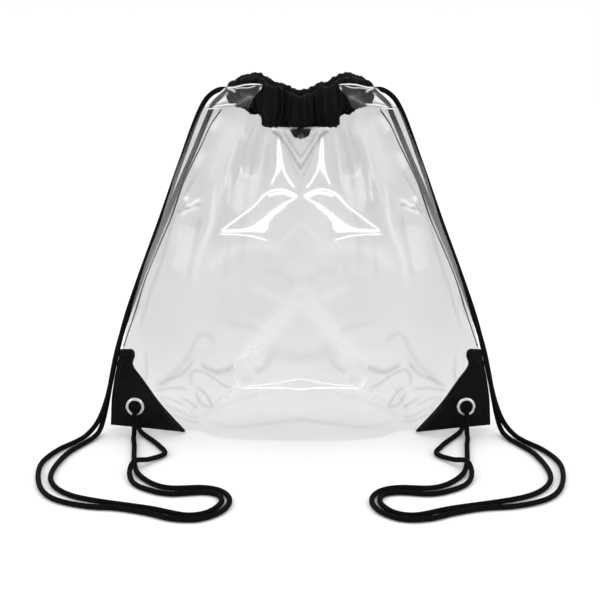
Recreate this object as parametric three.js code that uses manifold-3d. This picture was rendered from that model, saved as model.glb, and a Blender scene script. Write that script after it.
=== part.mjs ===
// A clear drawcord backpack, standing on its own folded base, in millimetres.
// +Z is up, the front faces -Y and X runs across. The origin is on the floor under the middle of the sack.
// Two clear sheets are sewn together at the sides and along the bottom. A gathered cloth casing closes the
// neck, a folded cloth patch wraps each bottom corner round a metal eyelet, and on each side one drawcord
// comes out of the casing, runs down the side seam to the floor and passes through the eyelet.

import * as THREE from "three";
import { mergeVertices } from "three/addons/utils/BufferGeometryUtils.js";
import Module from "manifold-3d";

const wasm = await Module();
wasm.setup();

// Driving sizes
const sackWidth = 344; // from side seam to side seam along the bottom
const sackHeight = 300; // from the floor to the cloth casing's seam beside the neck
const sackDepth = 148; // across the fullest part, front to back
const sheet = 1; // wall of the clear panels
const cloth = 1; // wall of the casing and the corner patches
const seamGap = 0.3; // between the two panels at their seams
const layGap = 0.3; // between a piece and what it is sewn or set on
const columns = 28; // of each panel, from seam to seam
const casingColumns = 20; // of them under the casing
const casingBulge = 6; // how far the tunnel stands out from the panel
const casingSink = 4; // how far the tunnel stands in from the panel
const casingHeight = 31; // top of the tunnel above the panels' top edge, at its highest
const pleats = 5; // gathers across each side of the neck
const pleatDepth = 4;
const pleatFade = 0.67; // pleats fade out where a panel swells less than this share
const patchRise = 79; // height of a corner patch up the side seam
const patchRun = 68; // its length along the bottom
const patchTab = 9; // width of the folded tab at its top
const tabDrop = 17; // from the top of the tab to where the slanted edge starts
const tabFlare = 4; // how much wider the tab is at its top
const patchWaist = 9; // how far the slanted edge is drawn in at its middle
const eyeletFromSide = 21; // eyelet's centre in from the side seam
const eyeletHeight = 26; // eyelet's centre above the floor
const eyeletBore = 5.5; // radius
const eyeletWall = 0.8;
const eyeletFlange = 8.8; // radius of the flange and of the washer behind
const flangeDome = 1.6; // height of the flange
const washerThickness = 0.7;
const rolledEdge = 7.6; // radius of the barrel's end, rolled over the washer
const rolledHeight = 0.8;
const cordDiameter = 4.5;
const cordSides = 8;
const cordSteps = 64;
const roundSides = 16;

// The sack's level sections, from the bottom seam to the neck. Heights are shares of sackHeight at the
// middle of a panel, at its shoulder and at its edge. Fin is the share of the half width that lies flat
// against the other panel, curve how sharply the panel swells beside it, and level the share of the half
// width at the middle's height. Width, depth and pleat are shares of their own sizes.
const shoulderAt = 0.7;
const sectionColumns = ["middle", "shoulder", "edge", "width", "depth", "fin", "curve", "level", "pleat"];
const sections = [
  [0, 0.009, 0.03, 1, 0, 0.22, 1.3, 0.4, 0],
  [0, 0.033, 0.075, 0.996, 0.18, 0.22, 1.3, 0.4, 0],
  [0, 0.067, 0.12, 0.986, 0.36, 0.21, 1.25, 0.4, 0],
  [0.02, 0.11, 0.165, 0.973, 0.52, 0.2, 1.2, 0.38, 0],
  [0.075, 0.165, 0.22, 0.953, 0.66, 0.16, 1.1, 0.3, 0],
  [0.16, 0.245, 0.29, 0.928, 0.79, 0.1, 1, 0.25, 0],
  [0.27, 0.34, 0.38, 0.889, 0.91, 0.05, 0.95, 0.2, 0],
  [0.4, 0.44, 0.47, 0.842, 0.98, 0.02, 0.9, 0.2, 0],
  [0.53, 0.545, 0.56, 0.783, 1, 0, 0.84, 0.2, 0],
  [0.65, 0.65, 0.65, 0.722, 0.97, 0, 0.8, 0.2, 0],
  [0.75, 0.75, 0.74, 0.671, 0.88, 0, 0.78, 0.2, 0.05],
  [0.83, 0.835, 0.825, 0.624, 0.75, 0.01, 0.78, 0.15, 0.25],
  [0.885, 0.91, 0.895, 0.577, 0.6, 0.05, 0.8, 0.12, 0.6],
  [0.92, 0.965, 0.95, 0.535, 0.45, 0.1, 0.8, 0.1, 0.9],
  [0.945, 1.01, 0.99, 0.5, 0.31, 0.16, 0.8, 0.1, 1],
].map((row) => Object.fromEntries(sectionColumns.map((name, i) => [name, row[i]])));

// How high the casing stands above the panels' top edge, as shares of casingHeight, at shares of its half
// length, and the shares of its rise between which its tunnel is fullest.
const casingRise = [
  { along: 0, rise: 0.97 },
  { along: 0.35, rise: 0.97 },
  { along: 0.6, rise: 1 },
  { along: 0.8, rise: 0.84 },
  { along: 1, rise: 0.55 },
];
const tunnelFoot = 0.3;
const tunnelShoulder = 0.72;

// The left drawcord's two strands as they lie, in mm, each from the casing's end to the eyelet's middle.
// The points are chosen by hand; the right drawcord is their mirror image.
const frontStrand = [
  [-56.3, -12.5, 313.5],
  [-70, -3, 314.5],
  [-80, 1.5, 308.5],
  [-87.5, 4, 297.5],
  [-107, 7.6, 247.6],
  [-124.9, 7, 198],
  [-145.4, 5.5, 143.6],
  [-158.3, 3, 106.5],
  [-165.8, 0, 78.5],
  [-177.5, -2.8, 30],
  [-185.2, -6.5, 12.1],
  [-193.3, -17, 4],
  [-200, -31, 2.65],
  [-214.5, -58, 2.45],
  [-223.3, -98, 2.45],
  [-213.5, -160, 2.45],
  [-198.5, -185, 2.45],
  [-172, -200.5, 2.45],
  [-145, -205.7, 2.45],
  [-121, -216.5, 2.45],
  [-101, -229, 2.45],
  [-81, -230.5, 2.45],
  [-65.5, -217, 2.45],
  [-58, -197.5, 2.45],
  [-58.8, -178, 2.45],
  [-67, -163, 2.45],
  [-80, -156.6, 2.45],
  [-107, -157.5, 2.45],
  [-119.5, -150.5, 2.45],
  [-137.8, -120, 2.45],
  [-148.7, -40, 2.5],
  [-151, -21.5, 2.55],
  [-151, -16.6, 3.7],
  [-151, -13.3, 7],
  [-151, -12, 11.6],
  [-151, -12, 14.4],
  [-151, -10.8, 18.9],
  [-151, -7.5, 22.2],
  [-151, -3, 23.45],
  [-151, -0.2, 23.45],
];
const backStrand = [
  [-55.3, 13, 312.5],
  [-62, 11.8, 312],
  [-75.5, 9.3, 302],
  [-82, 9.3, 288.5],
  [-95.5, 16, 257],
  [-107.5, 18.6, 230],
  [-130, 13.6, 177],
  [-150, 11, 127],
  [-166.3, 6.3, 79.5],
  [-179.3, 2.2, 17.5],
  [-182.7, -5, 5.8],
  [-186.5, -20, 2.9],
  [-205.5, -70, 2.45],
  [-209, -137, 2.45],
  [-188, -174.5, 2.45],
  [-118, -207, 2.45],
  [-89, -221.5, 2.45],
  [-76.5, -217.5, 2.45],
  [-67.5, -204.5, 2.45],
  [-63.8, -187.5, 2.45],
  [-68.2, -173, 2.45],
  [-79, -168, 2.45],
  [-107.5, -171.5, 2.45],
  [-126, -161, 2.45],
  [-139, -145, 2.5],
  [-144.5, -122, 4.6],
  [-142, -104, 7.9],
  [-131.5, -88, 4],
  [-119.3, -67.5, 2.45],
  [-126, -45, 2.45],
  [-144.8, -7, 2.45],
  [-148, 3.2, 2.5],
  [-149.7, 7.8, 3.7],
  [-150.7, 11.1, 7],
  [-151, 12.3, 11.6],
  [-151, 12.3, 14.4],
  [-151, 11.1, 18.9],
  [-151, 7.8, 22.2],
  [-151, 3.3, 23.45],
  [-151, 0.2, 23.45],
];

const clearSheet = new THREE.MeshStandardMaterial({
  color: 0xf2f4f5, roughness: 0.08, metalness: 0, transparent: true, opacity: 0.22, side: THREE.DoubleSide,
});
const blackCloth = new THREE.MeshStandardMaterial({ color: 0x0b0b0c, roughness: 0.85, metalness: 0 });
const blackCord = new THREE.MeshStandardMaterial({ color: 0x09090a, roughness: 0.9, metalness: 0 });
const nickel = new THREE.MeshStandardMaterial({ color: 0xb9bbbd, roughness: 0.25, metalness: 1 });

const pack = new THREE.Group();

function addPiece(name, geometry, material) {
  const mesh = new THREE.Mesh(geometry, material);
  mesh.name = name;
  pack.add(mesh);
}

const casingReach = casingColumns / columns;
const mix = (a, b, share) => a + (b - a) * share;

function ease(value, from, to) {
  const share = THREE.MathUtils.clamp((value - from) / (to - from), 0, 1);
  return share * share * (3 - 2 * share);
}

// Booleans
function toSolid(geometry) {
  const bare = geometry.clone();
  bare.deleteAttribute("normal");
  bare.deleteAttribute("uv");
  const merged = mergeVertices(bare, 1e-4);
  return new wasm.Manifold(
    new wasm.Mesh({
      numProp: 3,
      vertProperties: merged.attributes.position.array,
      triVerts: new Uint32Array(merged.index.array),
    }),
  );
}

function toGeometry(solid) {
  const mesh = solid.getMesh();
  const geometry = new THREE.BufferGeometry();
  geometry.setAttribute("position", new THREE.BufferAttribute(mesh.vertProperties, 3));
  geometry.setIndex(new THREE.BufferAttribute(mesh.triVerts, 1));
  geometry.computeVertexNormals();
  return geometry;
}

// A closed solid between two grids of points. Rows go up and columns to the right as seen from outside, and
// each cell is split from its lower corner farther from the middle, so that layers of cloth nest.
function solidBetween(outer, inner) {
  const rows = outer.length;
  const width = outer[0].length;
  const positions = [...outer.flat(), ...inner.flat()].flatMap((p) => [p.x, p.y, p.z]);
  const at = (i, j) => i * width + j;
  const inside = (i, j) => rows * width + at(i, j);
  const faces = [];
  const quad = (a, b, c, d) => faces.push(a, b, c, a, c, d);
  const fromMiddle = (index) => Math.abs(positions[3 * index]);
  const height = (index) => positions[3 * index + 2];
  for (let i = 0; i < rows - 1; i++) {
    for (let j = 0; j < width - 1; j++) {
      const cell = [[i, j], [i, j + 1], [i + 1, j + 1], [i + 1, j]];
      const rising = height(at(i, j)) < height(at(i + 1, j));
      const leftFarther = fromMiddle(at(i, j)) > fromMiddle(at(i, j + 1));
      if (rising !== leftFarther) cell.push(cell.shift());
      const [a, b, c, d] = cell;
      quad(...[a, b, c, d].map((corner) => at(...corner)));
      quad(...[a, d, c, b].map((corner) => inside(...corner)));
    }
    quad(at(i, 0), at(i + 1, 0), inside(i + 1, 0), inside(i, 0));
    quad(at(i + 1, width - 1), at(i, width - 1), inside(i, width - 1), inside(i + 1, width - 1));
  }
  for (let j = 0; j < width - 1; j++) {
    quad(at(0, j + 1), at(0, j), inside(0, j), inside(0, j + 1));
    quad(at(rows - 1, j), at(rows - 1, j + 1), inside(rows - 1, j + 1), inside(rows - 1, j));
  }
  const geometry = new THREE.BufferGeometry();
  geometry.setAttribute("position", new THREE.Float32BufferAttribute(positions, 3));
  geometry.setIndex(faces);
  geometry.computeVertexNormals();
  return geometry;
}

// The sack
const front = -1;
const back = 1;

// A point of a panel's inner face. Across runs from -1 at the left seam to 1 at the right one.
function sackPoint(side, across, section) {
  const out = Math.abs(across);
  const height = out < shoulderAt
    ? mix(section.middle, section.shoulder, ease(out, section.level, shoulderAt))
    : mix(section.shoulder, section.edge, (out - shoulderAt) / (1 - shoulderAt));
  const swell = Math.max(0, 1 - (out / (1 - section.fin)) ** 2) ** section.curve;
  const wave = -side * Math.cos((Math.PI * pleats * across) / casingReach);
  const pleat = section.pleat * pleatDepth * wave * Math.min(1, swell / pleatFade);
  return new THREE.Vector3(
    (across * section.width * sackWidth) / 2,
    side * (seamGap / 2 + (swell * section.depth * sackDepth) / 2 + pleat),
    sheet + height * sackHeight,
  );
}

// Points and outward normals of one panel, with its columns in order from left to right as seen from outside.
function panelFrame(side) {
  const points = sections.map((section) =>
    Array.from({ length: columns + 1 }, (_, j) => sackPoint(side, -side * ((2 * j) / columns - 1), section)),
  );
  const normals = points.map((row, i) =>
    row.map((_, j) => {
      const right = row[Math.min(j + 1, columns)].clone().sub(row[Math.max(j - 1, 0)]);
      const up = points[Math.min(i + 1, points.length - 1)][j].clone().sub(points[Math.max(i - 1, 0)][j]);
      return right.cross(up).normalize();
    }),
  );
  return { side, points, normals };
}

// The panel's face moved out by a distance, kept on its own side of the seam plane.
function facing(frame, distance) {
  return frame.points.map((row, i) =>
    row.map((point, j) => {
      const moved = point.clone().addScaledVector(frame.normals[i][j], distance);
      moved.y = frame.side * Math.max(seamGap / 2, frame.side * moved.y);
      return moved;
    }),
  );
}

const frames = { [front]: panelFrame(front), [back]: panelFrame(back) };

const eyeletAcross = sackWidth / 2 - eyeletFromSide;
const barrelRadius = eyeletBore + eyeletWall;

// A round bar along Y, right through one corner, for the eyelet's hole.
function eyeletHole(hand) {
  const bar = new THREE.CylinderGeometry(barrelRadius + layGap, barrelRadius + layGap, sackDepth, roundSides);
  bar.translate(hand * eyeletAcross, 0, eyeletHeight);
  return toSolid(bar);
}

function clearPanel(side) {
  let solid = toSolid(solidBetween(facing(frames[side], sheet), facing(frames[side], 0)));
  for (const hand of [-1, 1]) solid = solid.subtract(eyeletHole(hand));
  return toGeometry(solid);
}

addPiece("clear_front_panel", clearPanel(front), clearSheet);
addPiece("clear_back_panel", clearPanel(back), clearSheet);

// Corner patches
// Sections and columns that reach past a patch, counted from the bottom seam and from the side seam.
const patchRows = sections.findIndex((section) => section.edge * sackHeight > patchRise) + 2;
const patchColumns = Math.ceil((patchRun / sackWidth) * columns) + 3;

// The sack's bottom corner filled solid, thickened by a distance past the panels and past the seams.
function cornerSolid(hand, distance, rows, reach) {
  const grid = (frame) => {
    const shell = facing(frame, sheet + distance).slice(0, rows);
    const fromLeft = hand * frame.side > 0;
    const picked = shell.map((row) => (fromLeft ? row.slice(0, reach) : row.slice(-reach)));
    for (const row of picked) {
      const seam = (fromLeft ? row[0] : row[row.length - 1]).clone();
      seam.x += hand * distance;
      if (fromLeft) row.unshift(seam);
      else row.push(seam);
    }
    picked.unshift(picked[0].map((point) => point.clone().add(new THREE.Vector3(0, 0, -distance))));
    return picked;
  };
  const mirrored = grid(frames[back]).map((row) => row.reverse());
  return toSolid(solidBetween(grid(frames[front]), mirrored));
}

// The patch's outline seen from the front, as a bar right through the sack.
function patchOutline(hand) {
  const past = patchTab;
  const seamTop = sackWidth / 2 - patchTab;
  const tabFoot = patchRise - tabDrop;
  const run = sackWidth / 2 - patchRun;
  const outline = new THREE.Shape();
  outline.moveTo(sackWidth / 2 + past, -past);
  outline.lineTo(sackWidth / 2 + past, patchRise);
  outline.lineTo(seamTop - patchTab, patchRise);
  outline.lineTo(seamTop - patchTab - tabFlare, patchRise - tabFlare);
  outline.lineTo(seamTop - patchTab, tabFoot);
  outline.quadraticCurveTo(mix(seamTop, run, 0.5) + patchWaist - patchTab, tabFoot / 2 - patchWaist, run, 0);
  outline.lineTo(run, -past);
  const bar = new THREE.ExtrudeGeometry(outline, { depth: sackDepth, bevelEnabled: false, curveSegments: 6 });
  bar.rotateX(Math.PI / 2);
  bar.translate(0, sackDepth / 2, 0);
  const solid = toSolid(bar);
  return hand > 0 ? solid : solid.mirror([1, 0, 0]);
}

function cornerPatch(hand) {
  const outside = cornerSolid(hand, layGap + cloth, patchRows, patchColumns);
  const inside = cornerSolid(hand, layGap, patchRows + 1, patchColumns + 1);
  return toGeometry(outside.subtract(inside).intersect(patchOutline(hand)).subtract(eyeletHole(hand)));
}

for (const [hand, word] of [[-1, "left"], [1, "right"]]) {
  addPiece("corner_patch_" + word, cornerPatch(hand), blackCloth);
}

// Eyelets
function turned(profile, hand) {
  const ring = new THREE.LatheGeometry(profile.map(([r, y]) => new THREE.Vector2(r, y)), roundSides);
  ring.translate(hand * eyeletAcross, 0, eyeletHeight);
  return toGeometry(toSolid(ring));
}

// The lathe turns about Y, with the front flange at -Y.
const layers = seamGap / 2 + sheet + layGap + cloth + layGap; // from the seam plane to the patch's outside
function eyeletProfile() {
  const washerTop = layers + washerThickness + layGap;
  const crown = mix(eyeletBore, eyeletFlange, 0.45);
  return [
    [eyeletBore, -layers - flangeDome * 0.5],
    [eyeletBore + eyeletWall, -layers - flangeDome * 0.9],
    [crown, -layers - flangeDome],
    [mix(crown, eyeletFlange, 0.6), -layers - flangeDome * 0.8],
    [eyeletFlange, -layers - flangeDome * 0.25],
    [eyeletFlange, -layers],
    [barrelRadius, -layers],
    [barrelRadius, washerTop],
    [rolledEdge, washerTop],
    [rolledEdge - 0.2, washerTop + rolledHeight * 0.8],
    [barrelRadius, washerTop + rolledHeight],
    [eyeletBore, washerTop + rolledHeight * 0.6],
    [eyeletBore, -layers - flangeDome * 0.5],
  ];
}

function washerProfile() {
  const bore = barrelRadius + layGap;
  return [
    [bore, layers],
    [eyeletFlange, layers],
    [eyeletFlange, layers + washerThickness],
    [bore, layers + washerThickness],
    [bore, layers],
  ];
}

for (const [hand, word] of [[-1, "left"], [1, "right"]]) {
  addPiece("eyelet_" + word, turned(eyeletProfile(), hand), nickel);
  addPiece("eyelet_washer_" + word, turned(washerProfile(), hand), nickel);
}

// Casing
function riseAt(along) {
  const next = casingRise.findIndex((row) => row.along >= along);
  if (next <= 0) return casingRise[0].rise;
  const [from, to] = [casingRise[next - 1], casingRise[next]];
  return mix(from.rise, to.rise, (along - from.along) / (to.along - from.along));
}

// One half of the casing: a strip folded over the cords, with both its edges sewn over the panel's top edge.
// Its rows run from the hem outside the panel, up round the tunnel, to the hem inside.
function casing(side) {
  const frame = frames[side];
  const top = sections.length - 1;
  const hem = (distance) => facing(frame, distance).slice(-2);
  const strip = (wall) => {
    const tunnelRow = (out, share) =>
      frame.points[top].map((point, j) => {
        const along = Math.abs((2 * j) / columns - 1) / casingReach;
        const normal = frame.normals[top][j].clone().setZ(0).normalize();
        const rise = share * (riseAt(Math.min(1, along)) * casingHeight - cloth + wall);
        return point.clone().addScaledVector(normal, sheet / 2 + out).add(new THREE.Vector3(0, 0, rise));
      });
    return [
      ...hem(sheet + layGap + wall),
      tunnelRow(casingBulge + wall, tunnelFoot),
      tunnelRow(casingBulge + wall, tunnelShoulder),
      tunnelRow(casingBulge * 0.5, 1),
      tunnelRow(-casingSink * 0.3, 1),
      tunnelRow(-casingSink - wall, tunnelShoulder),
      tunnelRow(-casingSink - wall, tunnelFoot),
      ...hem(-layGap - wall).reverse(),
    ].map((row) => row.filter((_, j) => Math.abs((2 * j) / columns - 1) <= casingReach + 1e-6));
  };
  return solidBetween(strip(cloth), strip(0));
}

addPiece("casing_front", casing(front), blackCloth);
addPiece("casing_back", casing(back), blackCloth);

// Drawcords
// A route whose steps are shared out evenly over its points, so that they are short where the points are close.
class CordRoute extends THREE.CatmullRomCurve3 {
  getUtoTmapping(share) {
    return share;
  }
}

function strand(route, hand) {
  const curve = new CordRoute(route.map(([x, y, z]) => new THREE.Vector3(-hand * x, y, z)), false, "centripetal");
  const ring = Array.from({ length: cordSides }, (_, i) => {
    const turn = (2 * Math.PI * (i + 0.5)) / cordSides;
    return new THREE.Vector2((cordDiameter / 2) * Math.cos(turn), (cordDiameter / 2) * Math.sin(turn));
  });
  return new THREE.ExtrudeGeometry(new THREE.Shape(ring), { steps: cordSteps, extrudePath: curve });
}

for (const [hand, word] of [[-1, "left"], [1, "right"]]) {
  addPiece("drawcord_" + word + "_front", strand(frontStrand, hand), blackCord);
  addPiece("drawcord_" + word + "_back", strand(backStrand, hand), blackCord);
}

export default pack;
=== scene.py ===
# %% [markdown]
# # A clear drawcord backpack
# The real bag is two sheets of clear vinyl sewn together at the sides and along the bottom, with a black
# cloth casing gathered round its neck, a black cloth patch round each bottom corner and a drawcord on each
# side that runs from the casing through a nickel eyelet. Each of those gets its own piece here, set on the
# solids of the frame. Lengths are in metres, and the tables give them in millimetres, times MM.
# %% Load the frame
import math

import bpy
import numpy as np
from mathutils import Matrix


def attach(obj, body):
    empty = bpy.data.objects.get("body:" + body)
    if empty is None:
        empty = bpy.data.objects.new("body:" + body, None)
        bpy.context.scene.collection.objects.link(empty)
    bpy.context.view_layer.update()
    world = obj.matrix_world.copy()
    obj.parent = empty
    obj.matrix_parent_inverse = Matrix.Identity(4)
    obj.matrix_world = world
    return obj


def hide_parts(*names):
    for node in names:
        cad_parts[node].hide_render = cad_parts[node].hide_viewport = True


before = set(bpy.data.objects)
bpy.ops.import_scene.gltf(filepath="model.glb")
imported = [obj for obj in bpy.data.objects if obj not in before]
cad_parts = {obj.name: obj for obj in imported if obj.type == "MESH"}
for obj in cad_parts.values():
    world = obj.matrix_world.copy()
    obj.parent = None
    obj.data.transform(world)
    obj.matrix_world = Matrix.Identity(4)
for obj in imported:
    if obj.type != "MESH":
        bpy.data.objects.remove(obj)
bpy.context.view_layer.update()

MM = 0.001
print("solids:", len(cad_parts))

# %% [markdown]
# The photograph looks slightly down on the bag from the front, through a long lens, and shows it a little
# above the middle of a square frame. A lens of 100 mm on the standard 36 mm sensor at 1.5 m gives that
# view.
# %% Camera
LENS, SENSOR = 100, 36
CAMERA_DISTANCE = 1500 * MM
CAMERA_RISE = math.radians(13)
CAMERA_SIDEWAYS, CAMERA_HEIGHT = -0.54 * MM, 462.55 * MM


def make_camera():
    data = bpy.data.cameras.new("camera")
    data.lens = LENS
    data.sensor_width = SENSOR
    camera = bpy.data.objects.new("camera", data)
    bpy.context.scene.collection.objects.link(camera)
    camera.location = (CAMERA_SIDEWAYS, -CAMERA_DISTANCE * math.cos(CAMERA_RISE), CAMERA_HEIGHT)
    camera.rotation_euler = (math.pi / 2 - CAMERA_RISE, 0, 0)
    bpy.context.scene.camera = camera
    return camera


print("camera at", [round(v, 3) for v in make_camera().location])

# %% [markdown]
# Every piece below is a mesh worked out point by point, so these helpers come first. One turns points and
# faces into an object, with a UV map where the material needs one, and ties it to the frame. The others
# make a closed sheet from two grids of points and a closed tube along a line.
# %% Mesh helpers
SIDES = {"left": -1, "right": 1}


def make_piece(name, points, faces, replaces=(), uvs=None):
    """An object from points in metres, tied to the frame."""
    mesh = bpy.data.meshes.new(name)
    mesh.from_pydata([tuple(p) for p in np.asarray(points, float)], [], [tuple(f) for f in faces])
    if uvs is not None:
        layer = mesh.uv_layers.new(name="UVMap")
        corners = np.array([loop.vertex_index for loop in mesh.loops])
        layer.data.foreach_set("uv", np.asarray(uvs, float)[corners].ravel())
    mesh.polygons.foreach_set("use_smooth", [True] * len(mesh.polygons))
    mesh.update()
    piece = bpy.data.objects.new(name, mesh)
    bpy.context.scene.collection.objects.link(piece)
    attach(piece, "root")
    if replaces:
        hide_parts(*replaces)
    return piece


def grid_faces(rows, columns, start=0, flip=False):
    faces = []
    for i in range(rows - 1):
        for j in range(columns - 1):
            a = start + i * columns + j
            face = (a, a + 1, a + columns + 1, a + columns)
            faces.append(face[::-1] if flip else face)
    return faces


def shell(outer, inner):
    """Points and faces of a closed sheet between two grids, each of rows, columns and x, y, z."""
    rows, columns = outer.shape[:2]
    size = rows * columns
    faces = grid_faces(rows, columns) + grid_faces(rows, columns, size, flip=True)
    border = [(0, j) for j in range(columns)]
    border += [(i, columns - 1) for i in range(1, rows)]
    border += [(rows - 1, j) for j in range(columns - 2, -1, -1)]
    border += [(i, 0) for i in range(rows - 2, 0, -1)]
    ring = [i * columns + j for i, j in border]
    for a, b in zip(ring, ring[1:] + ring[:1]):
        faces.append((b, a, size + a, size + b))
    return np.concatenate([outer.reshape(-1, 3), inner.reshape(-1, 3)]), faces


def smooth_line(points, steps):
    """A centripetal Catmull-Rom line through the points, as the CAD's cords use, in even steps."""
    p = np.asarray(points, float)
    p = np.vstack([2 * p[0] - p[1], p, 2 * p[-1] - p[-2]])
    knots = np.concatenate([[0], np.cumsum(np.linalg.norm(np.diff(p, axis=0), axis=1) ** 0.5)])
    dense = []
    for i in range(1, len(p) - 2):
        t0, t1, t2, t3 = knots[i - 1 : i + 3]
        t = np.linspace(t1, t2, 24, endpoint=False)[:, None]
        a1 = (t1 - t) / (t1 - t0) * p[i - 1] + (t - t0) / (t1 - t0) * p[i]
        a2 = (t2 - t) / (t2 - t1) * p[i] + (t - t1) / (t2 - t1) * p[i + 1]
        a3 = (t3 - t) / (t3 - t2) * p[i + 1] + (t - t2) / (t3 - t2) * p[i + 2]
        b1 = (t2 - t) / (t2 - t0) * a1 + (t - t0) / (t2 - t0) * a2
        b2 = (t3 - t) / (t3 - t1) * a2 + (t - t1) / (t3 - t1) * a3
        dense.append((t2 - t) / (t2 - t1) * b1 + (t - t1) / (t2 - t1) * b2)
    dense = np.vstack(dense + [p[-2][None]])
    along = np.concatenate([[0], np.cumsum(np.linalg.norm(np.diff(dense, axis=0), axis=1))])
    even = np.linspace(0, along[-1], steps + 1)
    return np.stack([np.interp(even, along, dense[:, k]) for k in range(3)], 1), along[-1]


def tube(line, radius, sides, start=0):
    """Points and faces of a round tube along a line, closed at both ends. Start is its first index."""
    count = len(line)
    tangents = np.gradient(line, axis=0)
    tangents /= np.linalg.norm(tangents, axis=1)[:, None]
    up = np.cross(tangents[0], [0.31, 0.17, 0.93])
    normals = []
    for tangent in tangents:
        up = up - tangent * np.dot(up, tangent)
        up /= np.linalg.norm(up)
        normals.append(up)
    normals = np.array(normals)
    across = np.cross(tangents, normals)
    turn = np.linspace(0, 2 * math.pi, sides + 1)
    ring = normals[:, None] * np.cos(turn)[None, :, None] + across[:, None] * np.sin(turn)[None, :, None]
    points = (line[:, None] + ring[:, :-1] * radius).reshape(-1, 3)
    faces = []
    for i in range(count - 1):
        for j in range(sides):
            a, b = start + i * sides + j, start + i * sides + (j + 1) % sides
            faces.append((a, b, b + sides, a + sides))
    faces.append([start + j for j in range(sides)][::-1])
    faces.append([start + (count - 1) * sides + j for j in range(sides)])
    return points, faces


# %% [markdown]
# The drawcords are black braided polyester, 4.5 mm thick. On each side two strands leave the casing's end,
# run down the side seam, lie on the floor in a long loop and meet in the eyelet. Each strand is a round
# tube along the same points as its solid. The right side mirrors the left one. A curve with a
# bevel would do too, but a mesh of our own also carries the UV map for the braid.
# %% Drawcord routes
CORD_DIAMETER = 4.5 * MM
STRAND_STEPS, STRAND_SIDES = 650, 16
LAID = 2.45  # height of a strand's middle where it lies on the floor

FRONT_STRAND = [
    (-56.3, -12.5, 313.5), (-70, -3, 314.5), (-80, 1.5, 308.5), (-87.5, 4, 297.5), (-107, 7.6, 247.6),
    (-124.9, 7, 198), (-145.4, 5.5, 143.6), (-158.3, 3, 106.5), (-165.8, 0, 78.5), (-177.5, -2.8, 30),
    (-185.2, -6.5, 12.1), (-193.3, -17, 4), (-200, -31, 2.65), (-214.5, -58, LAID), (-223.3, -98, LAID),
    (-213.5, -160, LAID), (-198.5, -185, LAID), (-172, -200.5, LAID), (-145, -205.7, LAID),
    (-121, -216.5, LAID), (-101, -229, LAID), (-81, -230.5, LAID), (-65.5, -217, LAID),
    (-58, -197.5, LAID), (-58.8, -178, LAID), (-67, -163, LAID), (-80, -156.6, LAID),
    (-107, -157.5, LAID), (-119.5, -150.5, LAID), (-137.8, -120, LAID), (-148.7, -40, 2.5),
    (-151, -21.5, 2.55), (-151, -16.6, 3.7), (-151, -13.3, 7), (-151, -12, 11.6), (-151, -12, 14.4),
    (-151, -10.8, 18.9), (-151, -7.5, 22.2), (-151, -3, 23.45), (-151, -0.2, 23.45),
]
BACK_STRAND = [
    (-55.3, 13, 312.5), (-62, 11.8, 312), (-75.5, 9.3, 302), (-82, 9.3, 288.5), (-95.5, 16, 257),
    (-107.5, 18.6, 230), (-130, 13.6, 177), (-150, 11, 127), (-166.3, 6.3, 79.5), (-179.3, 2.2, 17.5),
    (-182.7, -5, 5.8), (-186.5, -20, 2.9), (-205.5, -70, LAID), (-209, -137, LAID),
    (-188, -174.5, LAID), (-118, -207, LAID), (-89, -221.5, LAID), (-76.5, -217.5, LAID),
    (-67.5, -204.5, LAID), (-63.8, -187.5, LAID), (-68.2, -173, LAID), (-79, -168, LAID),
    (-107.5, -171.5, LAID), (-126, -161, LAID), (-139, -145, 2.5), (-144.5, -122, 4.6),
    (-142, -104, 7.9), (-131.5, -88, 4), (-119.3, -67.5, LAID), (-126, -45, LAID),
    (-144.8, -7, LAID), (-148, 3.2, 2.5), (-149.7, 7.8, 3.7), (-150.7, 11.1, 7), (-151, 12.3, 11.6),
    (-151, 12.3, 14.4), (-151, 11.1, 18.9), (-151, 7.8, 22.2), (-151, 3.3, 23.45), (-151, 0.2, 23.45),
]


# %% Make the drawcords
def make_strand(side, word, route):
    points = np.array(route) * MM
    points[:, 0] *= -SIDES[side]
    line, length = smooth_line(points, STRAND_STEPS)
    verts, faces = tube(line, CORD_DIAMETER / 2, STRAND_SIDES)
    along = np.repeat(np.linspace(0, length / CORD_DIAMETER, len(line)), STRAND_SIDES)
    around = np.tile(np.abs(np.linspace(-1, 1, STRAND_SIDES + 1)[:-1]), len(line))
    node = f"drawcord_{side}_{word}"
    cord = make_piece(node + "_braided", verts, faces, [node], np.stack([along, around], 1))
    return cord, length


cords = []
for side in SIDES:
    for word, route in (("front", FRONT_STRAND), ("back", BACK_STRAND)):
        cord, length = make_strand(side, word, route)
        cords.append(cord)
        print(cord.name, "length", round(length, 3), "m")

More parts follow.
